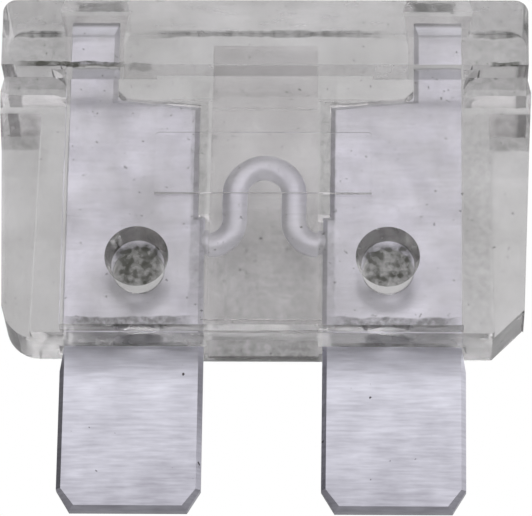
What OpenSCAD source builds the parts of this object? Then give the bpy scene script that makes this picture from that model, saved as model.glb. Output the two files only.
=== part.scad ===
// Regular-size automotive blade fuse: one clear moulded housing over one stamped fuse element.
// Upright, blades down: X is the width, Y the thickness (front is -Y), Z = 0 at the blade tips.

/* [Head] */
// Width of the head over both ends
head_width = 19.06; // [18.6:0.01:20]
// Thickness of the head, front to rear
head_thickness = 5.1; // [4.9:0.1:6]
// Height of the head's upright faces
head_height = 2.55; // [2.2:0.05:2.8]
// Height of the sloping underside that joins the head to the blocks
underside_drop = 0.39; // [0.3:0.01:0.6]
// Radius of the head's upper corners, seen from the front
head_corner_r = 0.5; // [0.1:0.01:0.7]
// Width of the shallow panel sunk in the head's rear face
rear_panel_width = 7; // [5:0.1:9]
// Depth of that panel
rear_panel_depth = 0.1; // [0.05:0.01:0.2]

/* [Body] */
// Height from the blade tips to the top of the head
total_height = 18.6; // [18.3:0.1:19.2]
// Length of blade that shows below the body
blade_exposed = 6.15; // [5.8:0.01:6.4]
// How far the element lies behind the middle of the housing's thickness
element_setback = 0.4; // [0.2:0.05:0.5]
// Thickness of the flat middle slab that holds the element
slab_thickness = 2.8; // [2.6:0.1:3.2]
// Distance of the slab's ribbed end from the middle, just under the head
slab_half_width_top = 8.08; // [7.8:0.01:8.3]
// The same distance at the bottom of the body
slab_half_width_bottom = 8.28; // [8:0.01:8.5]
// Distance of the blocks' front from the middle of the housing's thickness
block_front = 2.1; // [1.8:0.05:2.15]
// Distance of the blocks' rear from the same middle
block_rear = 1.75; // [1.5:0.05:2.1]
// Distance of a block's outer side from the middle
block_outer_x = 7.18; // [7:0.01:7.4]
// Radius of the fillet where a block's outer side runs into the head
block_fillet_r = 0.7; // [0.3:0.05:0.8]
// How far the blocks stop short of the slab's bottom
block_setback = 0.05; // [0.03:0.01:0.3]
// Thickness of the bulge over the fuse link
bulge_thickness = 4.4; // [4.2:0.1:4.6]
// Width of the bulge under the head
bulge_width_top = 4.25; // [4.15:0.05:4.6]
// Width of the bulge at its lower end
bulge_width_bottom = 4.3; // [4.2:0.05:4.6]
// How far the bulge stops short of the slab's bottom
bulge_setback = 0.21; // [0.05:0.01:0.3]

/* [Wings] */
// Distance of the wing's outer edge from the middle, under the head
wing_half_width_top = 9.66; // [9.6:0.01:9.9]
// The same distance at the bottom of the body
wing_half_width_bottom = 9.33; // [9.2:0.01:9.55]
// Width taken off the wing's upper corner, where it comes out from under the head
wing_corner_width = 0.16; // [0.05:0.01:0.2]
// Height of that sloping corner
wing_corner_height = 0.7; // [0.3:0.05:1]
// How far the front of the thin web lies behind the front of the slab
web_recess = 0.65; // [0.4:0.05:0.9]
// Distance from the top of the head down to where the wing starts to thin
wing_ramp_start = 4; // [3.6:0.05:4.4]
// Height of the ramp from full thickness to the web
wing_ramp_height = 1.15; // [1:0.05:1.5]
// Legs of the chamfer on the right-hand lower corner
corner_chamfer = 1.12; // [0.8:0.01:1.3]
// Radius of the rounded left-hand lower corner
corner_round_r = 1.25; // [0.8:0.01:1.4]

/* [Label pad] */
// Width of the raised pad on the front of the bulge
pad_width = 7.8; // [7.4:0.01:8.4]
// Distance from the top of the head down to the pad's lower edge
pad_bottom = 7.43; // [7.1:0.01:7.8]
// Height of the label plate at the pad's lower end
plate_height = 2.34; // [2:0.01:2.6]
// How far the label plate stands proud of the bulge
plate_rise = 0.1; // [0.05:0.01:0.2]
// Corner radius of the label plate
plate_corner_r = 0.15; // [0.05:0.01:0.3]

/* [Link cavity] */
// Width of the cavity at its closed upper end
cavity_width_top = 3.8; // [3.6:0.05:4]
// Width of the cavity at its open lower end
cavity_width_bottom = 4.0; // [3.8:0.05:4.1]
// Front-to-rear depth of the cavity
cavity_depth = 2; // [1.8:0.05:2.4]
// Thickness of plastic left above the cavity
cavity_roof = 1.3; // [1:0.05:1.6]

/* [Test windows] */
// Width of a window at the top of the head
window_mouth_width = 2.55; // [2.4:0.01:2.8]
// Front-to-rear size of a window at the top of the head
window_mouth_depth = 2.4; // [1.8:0.05:2.6]
// Front-to-rear size of the straight shaft under the funnel
window_shaft_depth = 1.25; // [1.1:0.01:1.5]
// Gap between a tab and each side of its shaft
window_side_gap = 0.21; // [0.06:0.01:0.3]
// Depth of the funnel
window_funnel_height = 0.85; // [0.6:0.01:1.1]
// Depth of the whole window
window_height = 2.1; // [1.9:0.05:2.3]

/* [Blades] */
// Thickness of the element's sheet
sheet_thickness = 0.65; // [0.6:0.01:0.7]
// Distance of a blade's outer edge from the middle, clear of the body
blade_outer_x = 7.28; // [7.2:0.01:7.4]
// The same distance inside the body
blade_held_outer_x = 7.13; // [7:0.01:7.18]
// Height over which the outer edge comes in, just below the body
blade_waist_height = 0.9; // [0.5:0.1:1.5]
// Height of the lead-in at the pocket's mouth, which is as wide as the blade below it
pocket_lead_in = 0.3; // [0.1:0.05:0.5]
// Distance of a blade's inner edge from the middle
blade_inner_x = 2.135; // [2.1:0.005:2.2]
// Width taken off the inner edge above the link's foot
inner_step = 0.25; // [0.15:0.01:0.35]
// Distance from the top of the head down to that step
inner_step_level = 7.73; // [7.5:0.01:8.1]
// Width of the coined bevel along the blades' edges
edge_bevel = 0.17; // [0.1:0.01:0.25]
// Width of a corner cut at a blade's tip
tip_cut_width = 0.48; // [0.3:0.01:0.7]
// Height of a corner cut at a blade's tip
tip_cut_height = 0.8; // [0.5:0.01:1]
// Distance from the top of the head down to the blades' shoulder, beside the tab
shoulder_level = 3.17; // [3:0.01:3.3]
// Drop of the sloping shoulder towards the middle
shoulder_drop = 0.27; // [0.1:0.01:0.4]
// Radius of the fillet between the tab and the shoulder
tab_fillet_r = 0.3; // [0.2:0.01:0.4]

/* [Test tabs] */
// Width of a test tab
tab_width = 1.73; // [1.6:0.01:1.9]
// Distance from the top of the head down to the tab's top
tab_recess = 0.34; // [0.2:0.01:0.5]
// Height of the bevel at a tab's top
tab_bevel = 0.42; // [0.2:0.01:0.5]

/* [Stakes] */
// Distance of each stake from the middle
stake_x = 4.48; // [4.4:0.01:4.7]
// Distance from the top of the head down to the stakes
stake_level = 9.81; // [9.3:0.01:10]
// Diameter of the hole through each blade
stake_hole_d = 1.9; // [1.7:0.05:2.2]
// Diameter of the staking punch's marks at the surface
dimple_mouth_d = 2.29; // [2.1:0.01:2.5]
// Diameter of the marks' floor
dimple_floor_d = 1.9; // [1.7:0.01:2]
// Depth of the front marks; the rear marks are shallower by the element's setback
dimple_depth = 0.92; // [0.8:0.01:1]

/* [Fuse link] */
// Width of the link's strip
link_width = 0.9; // [0.7:0.01:1]
// Thickness of the strip along its middle
link_thickness = 0.5; // [0.4:0.01:0.6]
// Thickness of the strip at its edges
link_edge_thickness = 0.14; // [0.1:0.01:0.3]
// Radius of the arch along the strip's middle
arch_r = 1.07; // [1:0.01:1.2]
// Distance from the top of the head down to the top of the arch
arch_top = 5.21; // [4.9:0.01:5.5]
// Length of the straight leg below the arch
leg_length = 0.98; // [0.7:0.01:1.1]
// Radius of the turn from a leg into the blade, along the strip's middle
foot_r = 0.95; // [0.8:0.01:1.1]

/* [Fits] */
// Gap all round between the element and the housing
fit_gap = 0.03; // [0.02:0.01:0.05]

/* [Hidden] */

$fn = 64;
// How far a cutting shape runs past the face that it opens
overcut = 1;
// How far a solid runs into the one that it is fused with
root = 0.2;
// How far the tab's bevelled sides run down into the blade
tab_root = 1;
// Degrees that a foot turns: a quarter turn, and on until its end is inside the blade
foot_turn = 118;

body_bottom = blade_exposed;
head_bottom = total_height - head_height;
underside_inner = head_bottom - underside_drop;
wing_top = head_bottom;
wing_corner_z = wing_top - wing_corner_height;
arch_centre = total_height - arch_top - link_width / 2 - arch_r;
leg_bottom = arch_centre - leg_length;
stake_z = total_height - stake_level;
shoulder_z = total_height - shoulder_level;
step_z = total_height - inner_step_level;
tab_inner_x = blade_held_outer_x - tab_width;
tab_middle_x = blade_held_outer_x - tab_width / 2;
tab_top = total_height - tab_recess;

// Draws a front-view outline as a solid of the given thickness about Y = 0.
module front_plate(thickness) {
    rotate([90, 0, 0]) linear_extrude(thickness, center = true) children();
}

// Draws an end-view outline (Y across, Z up) as a solid of the given width about X = 0.
module end_plate(width) {
    rotate([90, 0, 90]) linear_extrude(width, center = true) children();
}

// Repeats a right-hand feature on the left.
module both_sides() {
    children();
    mirror([1, 0, 0]) children();
}

// A symmetrical outline, wide at the top and narrower at the bottom, or the reverse.
module trapezoid(half_bottom, half_top, bottom, top) {
    polygon([[-half_bottom, bottom], [half_bottom, bottom], [half_top, top], [-half_top, top]]);
}

// ---- Housing ----
// The outer forms are drawn about the housing's own middle and then moved to suit the element.

module head() {
    front_plate(head_thickness) {
        translate([-head_width / 2, head_bottom]) square([head_width, head_height - head_corner_r]);
        translate([-head_width / 2 + head_corner_r, head_bottom])
            square([head_width - 2 * head_corner_r, head_height]);
        both_sides() translate([head_width / 2 - head_corner_r, total_height - head_corner_r])
            circle(head_corner_r);
    }
    end_plate(2 * block_outer_x) polygon([
        [-block_front, underside_inner],
        [block_rear, underside_inner],
        [head_thickness / 2, head_bottom],
        [-head_thickness / 2, head_bottom]
    ]);
}

// The body's outline from the front, with one rounded and one chamfered lower corner.
module body_outline() {
    difference() {
        intersection() {
            trapezoid(wing_half_width_bottom, wing_half_width_top, body_bottom, wing_top);
            union() {
                trapezoid(wing_half_width_top, wing_half_width_top, body_bottom, wing_corner_z);
                trapezoid(
                    wing_half_width_top, wing_half_width_top - wing_corner_width,
                    wing_corner_z, wing_top
                );
            }
        }
        translate([wing_half_width_bottom, body_bottom]) rotate(45)
            square(corner_chamfer * sqrt(2), center = true);
        translate([-wing_half_width_bottom - overcut, body_bottom - overcut]) difference() {
            square(corner_round_r + overcut);
            translate([1, 1] * (corner_round_r + overcut)) circle(corner_round_r);
        }
    }
}

// The wings from the end: flush with the slab at the rear, and thinned by a ramp at the front.
module wing_section() {
    front = -slab_thickness / 2;
    rear = slab_thickness / 2;
    ramp_top = total_height - wing_ramp_start;
    polygon([
        [rear, body_bottom],
        [rear, wing_top],
        [front, wing_top],
        [front, ramp_top],
        [front + web_recess, ramp_top - wing_ramp_height],
        [front + web_recess, body_bottom]
    ]);
}

module wings_and_slab() {
    intersection() {
        front_plate(slab_thickness) body_outline();
        union() {
            end_plate(2 * wing_half_width_top) wing_section();
            front_plate(slab_thickness)
                trapezoid(slab_half_width_bottom, slab_half_width_top, body_bottom, wing_top);
        }
    }
}

module blade_block() {
    bottom = body_bottom + block_setback;
    translate([0, (block_rear - block_front) / 2, 0]) front_plate(block_front + block_rear) {
        translate([0, bottom]) square([block_outer_x, head_bottom + root - bottom]);
        translate([block_outer_x, head_bottom - block_fillet_r]) difference() {
            square([block_fillet_r, block_fillet_r + root]);
            translate([block_fillet_r, 0]) circle(block_fillet_r);
        }
    }
}

module bulge() {
    front_plate(bulge_thickness) trapezoid(
        bulge_width_bottom / 2, bulge_width_top / 2, body_bottom + bulge_setback, head_bottom + root
    );
}

// The label pad on the front only, with its proud plate at the lower end.
module label_pad() {
    bottom = total_height - pad_bottom;
    front_y = -bulge_thickness / 2;
    translate([-pad_width / 2, front_y, bottom])
        cube([pad_width, bulge_thickness / 2, head_bottom + root - bottom]);
    translate([0, front_y - plate_rise, 0]) rotate([90, 0, 0]) mirror([0, 0, 1])
        linear_extrude(plate_rise + root) {
            translate([-pad_width / 2, bottom]) square([pad_width, plate_height - plate_corner_r]);
            translate([-pad_width / 2 + plate_corner_r, bottom])
                square([pad_width - 2 * plate_corner_r, plate_height]);
            both_sides()
                translate([pad_width / 2 - plate_corner_r, bottom + plate_height - plate_corner_r])
                    circle(plate_corner_r);
        }
}

// The space round the link, open at the bottom so that the element can be pushed in.
module link_cavity() {
    front_plate(cavity_depth) trapezoid(
        cavity_width_bottom / 2, cavity_width_top / 2,
        body_bottom - overcut, total_height - cavity_roof
    );
}

// The pocket that a blade and its tab slide up into, open to the link cavity.
module blade_pocket() {
    front_plate(sheet_thickness + 2 * fit_gap) {
        polygon([
            [0, body_bottom - overcut],
            [blade_outer_x + fit_gap, body_bottom - overcut],
            [blade_outer_x + fit_gap, body_bottom],
            [blade_held_outer_x + fit_gap, body_bottom + pocket_lead_in],
            [blade_held_outer_x + fit_gap, step_z + fit_gap],
            [0, step_z + fit_gap]
        ]);
        polygon([
            [blade_inner_x + inner_step - fit_gap, step_z],
            [blade_inner_x + inner_step - fit_gap, shoulder_z - shoulder_drop + fit_gap],
            [tab_inner_x - tab_fillet_r - fit_gap, shoulder_z + fit_gap],
            [tab_inner_x - fit_gap, shoulder_z + tab_fillet_r + fit_gap],
            [tab_inner_x - fit_gap, tab_top],
            [blade_held_outer_x + fit_gap, tab_top],
            [blade_held_outer_x + fit_gap, step_z]
        ]);
    }
}

module test_window() {
    shaft_width = tab_width + 2 * window_side_gap;
    translate([tab_middle_x, 0, 0]) {
        translate([-shaft_width / 2, -window_shaft_depth / 2, total_height - window_height])
            cube([shaft_width, window_shaft_depth, window_height + overcut]);
        intersection() {
            front_plate(window_mouth_depth) trapezoid(
                shaft_width / 2, window_mouth_width / 2,
                total_height - window_funnel_height, total_height
            );
            end_plate(window_mouth_width) trapezoid(
                window_shaft_depth / 2, window_mouth_depth / 2,
                total_height - window_funnel_height, total_height
            );
        }
    }
}

// The shallow panel in the rear face of the head, open at the top.
module rear_panel() {
    translate([-rear_panel_width / 2, head_thickness / 2 - rear_panel_depth, head_bottom])
        cube([rear_panel_width, rear_panel_depth + overcut, head_height + overcut]);
}

// The plug of plastic that the staking punch presses into a blade's hole.
module stake() {
    translate([stake_x, 0, stake_z]) rotate([90, 0, 0])
        cylinder(h = sheet_thickness + 2 * root, d = stake_hole_d - 2 * fit_gap, center = true);
}

// A conical punch mark of the given depth, in a face that looks to the rear.
module punch_mark(face_y, depth) {
    translate([stake_x, face_y - depth, stake_z]) rotate([-90, 0, 0])
        cylinder(h = depth, d1 = dimple_floor_d, d2 = dimple_mouth_d);
}

module body_solid() {
    head();
    wings_and_slab();
    both_sides() blade_block();
    bulge();
    label_pad();
}

module housing() {
    color([0.86, 0.87, 0.84, 0.45]) difference() {
        union() {
            difference() {
                translate([0, -element_setback, 0]) difference() {
                    body_solid();
                    rear_panel();
                }
                link_cavity();
                both_sides() {
                    blade_pocket();
                    test_window();
                }
            }
            both_sides() stake();
        }
        translate([0, -element_setback, 0]) both_sides() {
            mirror([0, 1, 0]) punch_mark(block_front, dimple_depth);
            punch_mark(block_rear, dimple_depth - element_setback);
        }
    }
}

// ---- Fuse element ----

// A convex front outline of the sheet's thickness, with a coined bevel all round its edges.
// Its children are the full outline and the outline of the flat that the bevel leaves.
module coined_plate() {
    hull() {
        front_plate(sheet_thickness - 2 * edge_bevel) children(0);
        front_plate(sheet_thickness) children(1);
    }
}

// The blade's outline, drawn in by the given inset, with cut corners at the tip.
module blade_outline(inset, tip_inset) {
    left = blade_inner_x + inset;
    right = blade_outer_x - inset;
    polygon([
        [left + tip_cut_width, tip_inset],
        [right - tip_cut_width, tip_inset],
        [right, tip_cut_height],
        [right, step_z - inset],
        [left, step_z - inset],
        [left, tip_cut_height]
    ]);
}

// The narrower part of the blade above the link's foot, with its sloping shoulder.
module upper_outline(inset) {
    left = blade_inner_x + inner_step + inset;
    right = blade_outer_x - inset;
    polygon([
        [left, step_z - root - inner_step - edge_bevel],
        [right, step_z - root - inner_step - edge_bevel],
        [right, shoulder_z],
        [tab_inner_x - tab_fillet_r, shoulder_z - inset],
        [left, shoulder_z - shoulder_drop - inset]
    ]);
}

module tab_outline(inset, top_inset) {
    foot = shoulder_z - tab_root;
    translate([tab_inner_x + inset, foot])
        square([blade_outer_x - tab_inner_x - 2 * inset, tab_top - top_inset - foot]);
}

// The concave fillet in the corner between the tab and the shoulder.
module tab_fillet() {
    front_plate(sheet_thickness - 2 * edge_bevel)
        translate([tab_inner_x - tab_fillet_r, shoulder_z - root]) difference() {
            square([tab_fillet_r + root, tab_fillet_r + root]);
            translate([0, tab_fillet_r + root]) circle(tab_fillet_r);
        }
}

// The strip trimmed off the outer edge inside the body, running out in a slope below it.
module outer_trim() {
    front_plate(sheet_thickness + overcut) polygon([
        [blade_outer_x, body_bottom - blade_waist_height],
        [blade_held_outer_x, body_bottom],
        [blade_held_outer_x, total_height],
        [blade_outer_x + overcut, total_height],
        [blade_outer_x + overcut, body_bottom - blade_waist_height]
    ]);
}

module blade() {
    difference() {
        union() {
            coined_plate() {
                blade_outline(0, 0);
                blade_outline(edge_bevel, edge_bevel);
            }
            coined_plate() {
                upper_outline(0);
                upper_outline(edge_bevel);
            }
            coined_plate() {
                tab_outline(0, 0);
                tab_outline(edge_bevel, tab_bevel);
            }
            tab_fillet();
        }
        translate([stake_x, 0, stake_z]) rotate([90, 0, 0])
            cylinder(h = sheet_thickness + overcut, d = stake_hole_d, center = true);
        outer_trim();
    }
}

// The strip's section: thin flat edges, and both faces crowned towards the middle.
module strip_section() {
    crown = (link_thickness - link_edge_thickness) / 2;
    crown_r = (pow(link_width / 2, 2) + pow(crown, 2)) / (2 * crown);
    intersection() {
        square([link_width, link_thickness], center = true);
        translate([0, crown_r - link_thickness / 2]) circle(crown_r);
        translate([0, link_thickness / 2 - crown_r]) circle(crown_r);
    }
}

module arch() {
    translate([0, 0, arch_centre]) rotate([90, 0, 0])
        rotate_extrude(angle = 180) translate([arch_r, 0]) strip_section();
}

// One leg of the link, from the arch straight down and round into the blade.
module leg_and_foot() {
    translate([arch_r, 0, leg_bottom]) linear_extrude(leg_length) strip_section();
    translate([arch_r + foot_r, 0, leg_bottom]) rotate([90, 0, 0]) rotate([0, 0, 180])
        rotate_extrude(angle = foot_turn) translate([foot_r, 0]) strip_section();
}

module fuse_element() {
    color([0.78, 0.77, 0.80]) {
        both_sides() {
            blade();
            leg_and_foot();
        }
        arch();
    }
}

housing();
fuse_element();
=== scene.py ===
"""Clear blade fuse: finishes and softened edges for its housing and element, and a plain studio."""

import math

import bpy
from mathutils import Matrix, Vector


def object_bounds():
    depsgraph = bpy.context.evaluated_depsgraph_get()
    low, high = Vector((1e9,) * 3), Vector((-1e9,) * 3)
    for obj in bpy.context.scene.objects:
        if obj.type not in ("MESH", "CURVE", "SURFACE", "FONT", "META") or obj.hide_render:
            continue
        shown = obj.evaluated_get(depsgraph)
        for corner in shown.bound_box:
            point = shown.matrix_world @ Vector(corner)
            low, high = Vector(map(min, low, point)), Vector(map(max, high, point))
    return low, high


bl_info = {
    "name": "Clear Blade Fuse",
    "version": (1, 0, 0),
    "blender": (4, 5, 0),
    "location": "3D View > Sidebar > Blade Fuse",
    "description": "Finishes a clear blade fuse and sets up a plain studio round it",
    "category": "Object",
}

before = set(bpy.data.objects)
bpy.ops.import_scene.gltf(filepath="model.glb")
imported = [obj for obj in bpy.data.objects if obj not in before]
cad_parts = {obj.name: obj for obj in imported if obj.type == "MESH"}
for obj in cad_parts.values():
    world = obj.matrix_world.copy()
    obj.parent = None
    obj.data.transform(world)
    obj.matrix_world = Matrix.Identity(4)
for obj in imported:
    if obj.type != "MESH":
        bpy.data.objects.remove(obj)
cad_low, cad_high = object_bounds()
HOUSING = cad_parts["housing"]
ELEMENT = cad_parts["fuse_element"]
MM = 0.001

# Facets that meet at less than the first angle become one face, and only edges sharper than the
# second are rounded.
FACET_ANGLE = math.radians(1)
EDGE_ANGLE = math.radians(25)

# Way from the fuse to the middle of the studio's window: in front, and a little above its level.
WINDOW_DIRECTION = (0.0, -0.996, 0.087)

# Cosines of the angles from the window's middle at which its light starts and is full.
WINDOW_START = 0.6
WINDOW_FULL = 0.95

# How far to each side, as a share of all the way, the studio's light goes on changing.
SIDEWAYS = 0.9

# Strength at which the background behind the fuse is plain white.
WHITE = 1.0

# How often a ray of light may be reflected and refracted.
BOUNCES = 32

# How far the borders of the soiled and shaded places wander, in millimetres, and the share of the
# way out from the middle of such a place at which it starts to thin.
RAGGEDNESS = 0.25
SOFT_FROM = 0.6

# Bands of height on the element, in millimetres above the blade tips: where each starts, where it is
# full, and how strong it is there.
# The bare blades are drawn darker, and the band fades in below the housing: painted light there
# against the body's shadow.
BARE_BLADES = (6.1, 5.3, 0.44)
# Painted shade, darker towards the blade tips.
TIP_SHADE = (5.0, 0.0, 0.2)
# Painted shade on the tops of the test tabs.
TAB_TOP_SHADE = (18.08, 18.18, 0.85)

# Darker places on the housing: soiled places, and painted shade where marked. Each is a box in
# millimetres: its middle, its half size and how dark it is. Left and right are as seen from the
# front.
SOILED_AND_SHADED = (
    ((0.0, 2.15, 18.6), (4.9, 0.22, 0.17), 0.8),  # rear top edge of the head, between the windows
    ((-8.6, 2.15, 18.6), (1.2, 0.22, 0.17), 0.7),  # left end of that edge
    ((8.6, 2.15, 18.6), (1.2, 0.22, 0.17), 0.7),  # right end of that edge
    ((-7.0, -2.95, 16.08), (2.2, 0.2, 0.1), 0.9),  # lower front edge of the head, left
    ((-4.5, -2.9, 16.0), (0.5, 0.3, 0.14), 0.4),  # blob on that edge beside the pad
    ((8.7, -2.95, 16.08), (0.6, 0.2, 0.1), 0.9),  # lower front edge of the head, right
    # Painted shade on the top face in front of each window, above the test tabs.
    ((-6.1, -1.9, 18.6), (0.95, 0.8, 0.15), 0.75),  # top face in front of the left window
    ((6.1, -1.9, 18.6), (0.95, 0.8, 0.15), 0.75),  # top face in front of the right window
    ((-4.48, -1.55, 8.79), (1.05, 0.16, 1.0), 0.95),  # floor of the left punch mark
    ((4.48, -1.55, 8.79), (1.05, 0.16, 1.0), 0.95),  # floor of the right punch mark
    ((0.0, -0.4, 6.16), (9.6, 2.3, 0.1), 0.06),  # underside of the body
    ((0.0, 1.5, 6.4), (2.2, 0.6, 0.2), 0.1),  # rear lower edge of the bulge
    ((-4.7, -2.45, 6.3), (2.6, 0.25, 0.22), 0.65),  # front lower edge of the left block
    ((4.7, -2.45, 6.3), (2.6, 0.25, 0.22), 0.65),  # front lower edge of the right block
    ((-4.7, -0.5, 6.15), (2.7, 0.3, 0.14), 0.5),  # where the left blade comes out
    ((4.7, -0.5, 6.15), (2.7, 0.3, 0.14), 0.5),  # where the right blade comes out
    # Painted shade on the ramps of the wings.
    ((-9.0, -1.5, 14.05), (0.9, 0.5, 0.75), 0.32),  # ramp of the left wing
    ((9.0, -1.5, 14.05), (0.9, 0.5, 0.75), 0.32),  # ramp of the right wing
    ((0.0, 1.0, 8.8), (2.3, 0.2, 4.0), 0.4),  # lower part of the link cavity's rear wall
    ((-2.3, -2.6, 11.0), (0.35, 0.3, 5.0), 0.25),  # left edge of the bulge's front
    ((2.3, -2.6, 11.0), (0.35, 0.3, 5.0), 0.25),  # right edge of the bulge's front
    # Painted shade on the ends of the head's rear face.
    ((-8.3, 2.15, 17.2), (1.8, 0.3, 1.6), 0.32),  # left end of the head's rear face
    ((8.3, 2.15, 17.2), (1.8, 0.3, 1.6), 0.32),  # right end of the head's rear face
    ((7.7, 1.0, 11.0), (0.7, 0.3, 5.5), 0.24),  # rear of the slab beside the right blade
)


def linear(hex_colour):
    """Turn an sRGB hex colour into linear red, green and blue."""
    shares = [int(hex_colour[i : i + 2], 16) / 255 for i in (1, 3, 5)]
    return tuple(s / 12.92 if s <= 0.04045 else ((s + 0.055) / 1.055) ** 2.4 for s in shares)


def opaque(colour):
    """Give a colour the full alpha that a shader's socket asks for."""
    return (*colour, 1.0)


class HousingSettings(bpy.types.PropertyGroup):
    """Sizes and colours of the clear moulded housing."""

    edge_radius: bpy.props.FloatProperty(
        name="Edge radius", description="Radius that the mould leaves on the edges",
        default=0.05 * MM, min=0.0, max=0.2 * MM, unit="LENGTH", precision=5,
    )
    colour: bpy.props.FloatVectorProperty(
        name="Plastic colour", description="Tint of the clear polycarbonate",
        default=linear("#FCFAFC"), size=3, subtype="COLOR", min=0.0, max=1.0,
    )
    stained: bpy.props.FloatVectorProperty(
        name="Stained colour", description="Tint of the plastic where it has dulled",
        default=linear("#E4E2E2"), size=3, subtype="COLOR", min=0.0, max=1.0,
    )
    # Also the colour of the painted shade on the housing.
    grime_and_shade: bpy.props.FloatVectorProperty(
        name="Grime colour", description="Colour of the dirt in corners and along edges",
        default=linear("#3B3C31"), size=3, subtype="COLOR", min=0.0, max=1.0,
    )


class ElementSettings(bpy.types.PropertyGroup):
    """Sizes and colours of the stamped fuse element."""

    edge_radius: bpy.props.FloatProperty(
        name="Edge radius", description="Radius that coining leaves on the element's edges",
        default=0.1 * MM, min=0.0, max=0.2 * MM, unit="LENGTH", precision=5,
    )
    colour: bpy.props.FloatVectorProperty(
        name="Metal colour", description="Colour of the rolled zinc alloy",
        default=linear("#F3F3FE"), size=3, subtype="COLOR", min=0.0, max=1.0,
    )
    # Also the colour of the painted shade on the bare blades and towards the tips.
    tarnish_and_shade: bpy.props.FloatVectorProperty(
        name="Tarnish colour", description="Colour of the alloy where it is dull",
        default=linear("#8A8891"), size=3, subtype="COLOR", min=0.0, max=1.0,
    )
    # Also the colour of the painted shade on the tops of the test tabs.
    pit_and_shade: bpy.props.FloatVectorProperty(
        name="Pit colour", description="Colour in the pits and on the cut tops of the test tabs",
        default=linear("#4A4648"), size=3, subtype="COLOR", min=0.0, max=1.0,
    )


class StudioSettings(bpy.types.PropertyGroup):
    """The camera, floor and lights."""

    camera_distance: bpy.props.FloatProperty(
        name="Camera distance", description="Distance from the camera to the fuse",
        default=160 * MM, min=0.05, max=1.0, unit="LENGTH",
    )
    camera_tilt: bpy.props.FloatProperty(
        name="Camera tilt", description="How far below the fuse's level the camera stands",
        default=math.radians(21.3), min=0.0, max=math.radians(60), subtype="ANGLE",
    )
    camera_swing: bpy.props.FloatProperty(
        name="Camera swing", description="How far the camera stands round towards +X",
        default=math.radians(1.9), min=-0.5, max=0.5, subtype="ANGLE",
    )
    camera_roll: bpy.props.FloatProperty(
        name="Camera roll", description="Turn of the camera about its own view",
        default=math.radians(0.86), min=-0.1, max=0.1, subtype="ANGLE",
    )
    aim: bpy.props.FloatVectorProperty(
        name="Aim", description="Point of the fuse, above its blade tips, that the camera faces",
        default=(0.06 * MM, 0.0, 9.7 * MM), size=3, subtype="TRANSLATION", unit="LENGTH",
        precision=5,
    )
    camera_lens: bpy.props.FloatProperty(
        name="Lens", description="Focal length of the camera",
        default=299.0, min=50.0, max=600.0, unit="CAMERA",
    )
    floor_colour: bpy.props.FloatVectorProperty(
        name="Floor colour", description="Colour of the plain pale floor",
        default=linear("#F0F0F0"), size=3, subtype="COLOR", min=0.0, max=1.0,
    )
    floor_width: bpy.props.FloatProperty(
        name="Floor width", description="Width of the square floor",
        default=4.0, min=0.5, max=10.0, unit="LENGTH",
    )
    floor_drop: bpy.props.FloatProperty(
        name="Floor drop", description="How far the floor lies below the blade tips",
        default=130 * MM, min=0.0, max=1.0, unit="LENGTH",
    )
    main_power: bpy.props.FloatProperty(
        name="Main power", description="Power of the softbox in front",
        default=0.05, min=0.0, max=10.0, unit="POWER",
    )
    side_power: bpy.props.FloatProperty(
        name="Side power", description="Power of the softbox on the right",
        default=0.1, min=0.0, max=10.0, unit="POWER",
    )
    rear_power: bpy.props.FloatProperty(
        name="Rear power", description="Power of the softbox behind, which faces the floor",
        default=0.06, min=0.0, max=10.0, unit="POWER",
    )
    left_light: bpy.props.FloatProperty(
        name="Light from the left", description="Strength of the studio's light at the far left",
        default=0.2, min=0.0, max=2.0,
    )
    right_light: bpy.props.FloatProperty(
        name="Light from the right", description="Strength of the studio's light at the far right",
        default=0.8, min=0.0, max=2.0,
    )
    window_light: bpy.props.FloatProperty(
        name="Window light", description="Strength that the window adds to the studio's light",
        default=0.66, min=0.0, max=2.0,
    )


def add_node(tree, kind, inputs=None, **settings):
    """Add a node to a tree, with its settings and its inputs' values or links."""
    node = tree.nodes.new(kind)
    for name, value in settings.items():
        setattr(node, name, value)
    for name, value in (inputs or {}).items():
        if isinstance(value, bpy.types.NodeSocket):
            tree.links.new(value, node.inputs[name])
        else:
            node.inputs[name].default_value = value
    return node


def new_material(name):
    """Start a material and return it with its tree and output, and nothing else in it."""
    material = bpy.data.materials.new(name)
    material.use_nodes = True
    tree = material.node_tree
    tree.nodes.clear()
    return material, tree, add_node(tree, "ShaderNodeOutputMaterial")


def place_in_mm(tree):
    """Give the place on the fuse in millimetres."""
    place = add_node(tree, "ShaderNodeTexCoord").outputs["Object"]
    return add_node(
        tree, "ShaderNodeVectorMath", {0: place, "Scale": 1 / MM}, operation="SCALE"
    ).outputs[0]


def soften_edges(piece, radius):
    """Round a solid's edges by the given radius, and keep its flat faces flat to the eye."""
    merge = piece.modifiers.new("Merge facets", "DECIMATE")
    merge.decimate_type = "DISSOLVE"
    merge.angle_limit = FACET_ANGLE
    bevel = piece.modifiers.new("Edge radius", "BEVEL")
    bevel.width = radius
    bevel.segments = 2
    bevel.limit_method = "ANGLE"
    bevel.angle_limit = EDGE_ANGLE
    bevel.use_clamp_overlap = True
    for face in piece.data.polygons:
        face.use_smooth = True
    normals = piece.modifiers.new("Flat faces stay flat", "WEIGHTED_NORMAL")
    normals.keep_sharp = False
    normals.weight = 100


def dress(piece, material):
    """Give a piece one material in place of what it came with."""
    piece.data.materials.clear()
    piece.data.materials.append(material)


def patches(tree, place, per_mm, detail, low, high, least=0.0, most=1.0):
    """Give soft patches, so many to the millimetre, that run from least to most.

    A noise below the low level gives the least, and one above the high level the most.
    """
    raw = add_node(
        tree, "ShaderNodeTexNoise", {"Vector": place, "Scale": per_mm, "Detail": detail}
    ).outputs["Fac"]
    return add_node(
        tree, "ShaderNodeMapRange",
        {"Value": raw, "From Min": low, "From Max": high, "To Min": least, "To Max": most},
    ).outputs["Result"]


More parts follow.
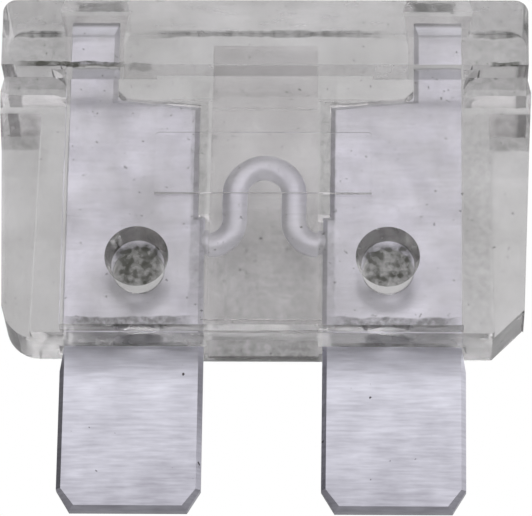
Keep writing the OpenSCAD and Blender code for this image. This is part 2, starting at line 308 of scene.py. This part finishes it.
def soft_box(tree, place, middle, half_size):
    """Give 1 in the middle of a box, which falls smoothly to 0 at its faces."""
    offset = add_node(
        tree, "ShaderNodeVectorMath", {0: place, 1: middle}, operation="SUBTRACT"
    ).outputs[0]
    scaled = add_node(
        tree, "ShaderNodeVectorMath", {0: offset, 1: half_size}, operation="DIVIDE"
    ).outputs[0]
    distance = add_node(
        tree, "ShaderNodeVectorMath", {0: scaled}, operation="ABSOLUTE"
    ).outputs[0]
    axes = add_node(tree, "ShaderNodeSeparateXYZ", {0: distance}).outputs
    widest = add_node(
        tree, "ShaderNodeMath", {0: axes["X"], 1: axes["Y"]}, operation="MAXIMUM"
    ).outputs[0]
    furthest = add_node(
        tree, "ShaderNodeMath", {0: widest, 1: axes["Z"]}, operation="MAXIMUM"
    ).outputs[0]
    return add_node(
        tree, "ShaderNodeMapRange",
        {"Value": furthest, "From Min": SOFT_FROM, "From Max": 1.0, "To Min": 1.0, "To Max": 0.0},
        interpolation_type="SMOOTHSTEP",
    ).outputs["Result"]


def soiling_and_shade(tree, place):
    """Give how dark the housing is at a place, from soil and from painted shade, with ragged
    borders, specks and dust.
    """
    drift = add_node(
        tree, "ShaderNodeTexNoise", {"Vector": place, "Scale": 1.6, "Detail": 5.0}
    ).outputs["Color"]
    wander = add_node(
        tree, "ShaderNodeVectorMath",
        {0: drift, 1: (RAGGEDNESS,) * 3, 2: (-RAGGEDNESS / 2,) * 3}, operation="MULTIPLY_ADD",
    ).outputs[0]
    moved = add_node(tree, "ShaderNodeVectorMath", {0: place, 1: wander}).outputs[0]
    total = 0.0
    for middle, half_size, strength in SOILED_AND_SHADED:
        patch = soft_box(tree, moved, middle, half_size)
        total = add_node(
            tree, "ShaderNodeMath", {0: patch, 1: strength, 2: total}, operation="MULTIPLY_ADD"
        ).outputs[0]
    specks = patches(tree, place, per_mm=4.0, detail=6.0, low=0.36, high=0.64, least=0.5)
    dust = patches(tree, place, per_mm=4.5, detail=2.0, low=0.71, high=0.76, most=0.4)
    return add_node(
        tree, "ShaderNodeMath", {0: total, 1: specks, 2: dust}, operation="MULTIPLY_ADD",
        use_clamp=True,
    ).outputs[0]


def moulded_polycarbonate(settings):
    """Polycarbonate moulded in polished steel.

    To the eye it is clear and glossy. Scuffs cloud it in patches about a millimetre across, stains
    dull it in wider ones, its skin ripples a little where the moulding shrank, and it is soiled in
    its corners. Painted shade darkens the ramps of the wings, the ends of the head's rear face and
    the top face above the test tabs.
    """
    material, tree, output = new_material("moulded_clear_polycarbonate")
    place = place_in_mm(tree)
    clearness = patches(
        tree, place, per_mm=0.9, detail=9.0, low=0.35, high=0.65, least=1.0, most=0.85
    )
    stains = patches(tree, place, per_mm=0.35, detail=6.0, low=0.35, high=0.65)
    ripple = add_node(
        tree, "ShaderNodeTexNoise", {"Vector": place, "Scale": 0.8, "Detail": 2.0}
    ).outputs["Fac"]
    bump = add_node(
        tree, "ShaderNodeBump", {"Height": ripple, "Strength": 0.25, "Distance": 0.05 * MM}
    ).outputs["Normal"]
    colour = add_node(
        tree, "ShaderNodeMix",
        {0: stains, 6: opaque(settings.colour), 7: opaque(settings.stained)},
        data_type="RGBA",
    ).outputs[2]
    plastic = add_node(
        tree, "ShaderNodeBsdfPrincipled",
        {
            "Base Color": colour,
            "Roughness": 0.06,
            "IOR": 1.585,
            "Transmission Weight": clearness,
            "Normal": bump,
        },
    ).outputs["BSDF"]
    dirt_and_shade = add_node(
        tree, "ShaderNodeBsdfPrincipled",
        {"Base Color": opaque(settings.grime_and_shade), "Roughness": 0.7},
    ).outputs["BSDF"]
    # Soiled places and painted shade darken the plastic.
    surface = add_node(
        tree, "ShaderNodeMixShader", {0: soiling_and_shade(tree, place), 1: plastic, 2: dirt_and_shade}
    ).outputs[0]
    tree.links.new(surface, output.inputs["Surface"])
    return material


def rolled_zinc_alloy(settings):
    """Zinc alloy, rolled into sheet and then stamped.

    To the eye it has a soft grey sheen with a fine grain across the blades and small dark pits. It
    is drawn darker on the bare blades, with painted light just below the housing against the
    body's shadow, and painted shade towards the tips and on the tops of the test tabs. The real
    grain is too fine to show, so it is drawn about a ninth of a millimetre wide.
    """
    grain_per_mm = (1.0, 1.0, 9.0)
    grain_share = 0.8
    mottle_share = 0.2
    material, tree, output = new_material("rolled_zinc_alloy")
    place = place_in_mm(tree)
    squeezed = add_node(
        tree, "ShaderNodeVectorMath", {0: place, 1: grain_per_mm}, operation="MULTIPLY"
    ).outputs[0]
    grain = patches(tree, squeezed, per_mm=1.0, detail=3.0, low=0.3, high=0.7)
    smudges = patches(tree, place, per_mm=0.7, detail=8.0, low=0.2, high=0.8)
    pits = patches(tree, place, per_mm=3.0, detail=2.0, low=0.72, high=0.76)
    mottle = add_node(
        tree, "ShaderNodeMath", {0: grain, 1: grain_share, 2: smudges}, operation="MULTIPLY_ADD"
    ).outputs[0]
    height = add_node(tree, "ShaderNodeSeparateXYZ", {0: place}).outputs["Z"]
    # Bands by height: the bare blades drawn darker with painted light just below the housing, and
    # painted shade towards the tips and on the tab tops.
    bare, tip_shade, tab_top_shade = (
        add_node(
            tree, "ShaderNodeMapRange",
            {"Value": height, "From Min": start, "From Max": full, "To Min": 0.0, "To Max": most},
        ).outputs["Result"]
        for start, full, most in (BARE_BLADES, TIP_SHADE, TAB_TOP_SHADE)
    )
    exposed = add_node(tree, "ShaderNodeMath", {0: bare, 1: tip_shade}).outputs[0]
    wear_and_shade = add_node(
        tree, "ShaderNodeMath", {0: mottle, 1: mottle_share, 2: exposed}, operation="MULTIPLY_ADD"
    ).outputs[0]
    worn_and_shaded = add_node(
        tree, "ShaderNodeMix",
        {0: wear_and_shade, 6: opaque(settings.colour), 7: opaque(settings.tarnish_and_shade)},
        data_type="RGBA",
    ).outputs[2]
    # Pits, and painted shade on the tops of the test tabs.
    dark = add_node(tree, "ShaderNodeMath", {0: pits, 1: tab_top_shade}, operation="MAXIMUM").outputs[0]
    colour = add_node(
        tree, "ShaderNodeMix", {0: dark, 6: worn_and_shaded, 7: opaque(settings.pit_and_shade)}, data_type="RGBA"
    ).outputs[2]
    roughness = add_node(
        tree, "ShaderNodeMapRange", {"Value": smudges, "To Min": 0.30, "To Max": 0.35}
    ).outputs["Result"]
    bump = add_node(
        tree, "ShaderNodeBump", {"Height": grain, "Strength": 0.08, "Distance": 0.02 * MM}
    ).outputs["Normal"]
    metal = add_node(
        tree, "ShaderNodeBsdfPrincipled",
        {"Base Color": colour, "Metallic": 1.0, "Roughness": roughness, "Normal": bump},
    ).outputs["BSDF"]
    tree.links.new(metal, output.inputs["Surface"])
    return material


def matt_card(settings):
    """Matt studio card: an even pale grey that shows soft shadows and no highlights."""
    material, tree, output = new_material("matt_studio_card")
    card = add_node(
        tree, "ShaderNodeBsdfPrincipled",
        {"Base Color": opaque(settings.floor_colour), "Roughness": 0.8},
    ).outputs["BSDF"]
    tree.links.new(card, output.inputs["Surface"])
    return material


class FUSE_OT_housing(bpy.types.Operator):
    """Finish the clear housing"""

    bl_idname = "fuse.housing"
    bl_label = "Finish Housing"

    def execute(self, context):
        settings = context.scene.fuse_housing
        soften_edges(HOUSING, settings.edge_radius)
        dress(HOUSING, moulded_polycarbonate(settings))
        return {"FINISHED"}


class FUSE_OT_element(bpy.types.Operator):
    """Finish the stamped fuse element"""

    bl_idname = "fuse.element"
    bl_label = "Finish Fuse Element"

    def execute(self, context):
        settings = context.scene.fuse_element
        soften_edges(ELEMENT, settings.edge_radius)
        dress(ELEMENT, rolled_zinc_alloy(settings))
        return {"FINISHED"}


def softbox(name, place, aim, size, power):
    """Add a square area lamp that faces a point and doesn't show through the plastic."""
    lamp = bpy.data.lights.new(name, "AREA")
    lamp.shape = "SQUARE"
    lamp.size = size
    lamp.energy = power
    body = bpy.data.objects.new(name, lamp)
    body.location = place
    body.rotation_euler = (Vector(aim) - Vector(place)).to_track_quat("-Z", "Y").to_euler()
    body.visible_transmission = False
    bpy.context.scene.collection.objects.link(body)


class FUSE_OT_studio(bpy.types.Operator):
    """Set up the floor, the lights and the camera"""

    bl_idname = "fuse.studio"
    bl_label = "Set Up Studio"

    def execute(self, context):
        settings = context.scene.fuse_studio
        fuse = (cad_low + cad_high) / 2
        self.add_floor(settings)
        self.add_world(context.scene, settings)
        softbox(
            "Main_softbox", place=(-0.03, -0.26, 0.11), aim=fuse, size=0.2, power=settings.main_power
        )
        softbox(
            "Side_softbox", place=(0.30, -0.10, 0.08), aim=fuse, size=0.2, power=settings.side_power
        )
        softbox(
            "Rear_softbox", place=(0.0, 0.28, 0.30), aim=(0.0, 0.0, -0.1), size=0.3,
            power=settings.rear_power,
        )
        self.add_camera(context.scene, settings)
        return {"FINISHED"}

    def add_floor(self, settings):
        """Lay a plain pale floor well below the fuse."""
        half = settings.floor_width / 2
        low = -settings.floor_drop
        corners = [(-half, -half, low), (half, -half, low), (half, half, low), (-half, half, low)]
        mesh = bpy.data.meshes.new("Floor")
        mesh.from_pydata(corners, [], [(0, 1, 2, 3)])
        floor = bpy.data.objects.new("Floor", mesh)
        bpy.context.scene.collection.objects.link(floor)
        dress(floor, matt_card(settings))

    def add_world(self, scene, settings):
        """Light the fuse from a grey studio, brighter to the right, with a window in front.

        The camera itself sees plain white there, while plastic and metal show the grey studio.
        """
        world = bpy.data.worlds.new("Studio")
        world.use_nodes = True
        tree = world.node_tree
        tree.nodes.clear()
        output = add_node(tree, "ShaderNodeOutputWorld")
        rays = add_node(tree, "ShaderNodeLightPath").outputs
        direction = add_node(tree, "ShaderNodeTexCoord").outputs["Generated"]
        axes = add_node(tree, "ShaderNodeSeparateXYZ", {0: direction}).outputs
        sideways = add_node(
            tree, "ShaderNodeMapRange",
            {
                "Value": axes["X"],
                "From Min": -SIDEWAYS,
                "From Max": SIDEWAYS,
                "To Min": settings.left_light,
                "To Max": settings.right_light,
            },
            interpolation_type="SMOOTHSTEP",
        ).outputs["Result"]
        towards_window = add_node(
            tree, "ShaderNodeVectorMath", {0: direction, 1: WINDOW_DIRECTION},
            operation="DOT_PRODUCT",
        ).outputs["Value"]
        window = add_node(
            tree, "ShaderNodeMapRange",
            {
                "Value": towards_window,
                "From Min": WINDOW_START,
                "From Max": WINDOW_FULL,
                "To Max": settings.window_light,
            },
            interpolation_type="SMOOTHSTEP",
        ).outputs["Result"]
        studio = add_node(tree, "ShaderNodeMath", {0: sideways, 1: window}).outputs[0]
        strength = add_node(
            tree, "ShaderNodeMix", {0: rays["Is Camera Ray"], 2: studio, 3: WHITE}
        ).outputs[0]
        light = add_node(
            tree, "ShaderNodeBackground", {"Color": opaque((1.0, 1.0, 1.0)), "Strength": strength}
        ).outputs[0]
        tree.links.new(light, output.inputs["Surface"])
        scene.world = world

    def add_camera(self, scene, settings):
        """Look up at the front from below, through a long lens."""
        data = bpy.data.cameras.new("Camera")
        data.lens = settings.camera_lens
        data.sensor_width = 36.0
        data.clip_start = 0.01
        data.clip_end = 10.0
        camera = bpy.data.objects.new("Camera", data)
        tilt = settings.camera_tilt
        back = Vector((0.0, -math.cos(tilt), -math.sin(tilt)))
        back.rotate(Matrix.Rotation(settings.camera_swing, 3, "Z"))
        roll = Matrix.Rotation(settings.camera_roll, 3, "Z")
        turn = (-back).to_track_quat("-Z", "Y").to_matrix() @ roll
        camera.location = Vector(settings.aim) + back * settings.camera_distance
        camera.rotation_euler = turn.to_euler()
        scene.collection.objects.link(camera)
        scene.camera = camera
        scene.view_settings.view_transform = "Standard"
        # Light crosses many faces of the plastic before it comes out again.
        scene.cycles.max_bounces = BOUNCES
        scene.cycles.transmission_bounces = BOUNCES
        scene.cycles.glossy_bounces = BOUNCES


class FUSE_PT_panel(bpy.types.Panel):
    """Steps that dress the blade fuse"""

    bl_idname = "FUSE_PT_panel"
    bl_label = "Blade Fuse"
    bl_space_type = "VIEW_3D"
    bl_region_type = "UI"
    bl_category = "Blade Fuse"

    def draw(self, context):
        for operator in OPERATORS:
            self.layout.operator(operator.bl_idname)


SETTINGS = {
    "fuse_housing": HousingSettings,
    "fuse_element": ElementSettings,
    "fuse_studio": StudioSettings,
}
OPERATORS = (FUSE_OT_housing, FUSE_OT_element, FUSE_OT_studio)
CLASSES = (*SETTINGS.values(), *OPERATORS, FUSE_PT_panel)


def register():
    """Register the settings, operators and panel."""
    for cls in CLASSES:
        bpy.utils.register_class(cls)
    for name, group in SETTINGS.items():
        setattr(bpy.types.Scene, name, bpy.props.PointerProperty(type=group))


def unregister():
    """Take the settings, operators and panel away again."""
    for name in SETTINGS:
        delattr(bpy.types.Scene, name)
    for cls in reversed(CLASSES):
        bpy.utils.unregister_class(cls)


def main():
    """Dress the fuse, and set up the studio."""
    register()
    bpy.ops.fuse.housing()
    bpy.ops.fuse.element()
    bpy.ops.fuse.studio()


if __name__ == "__main__":
    main()
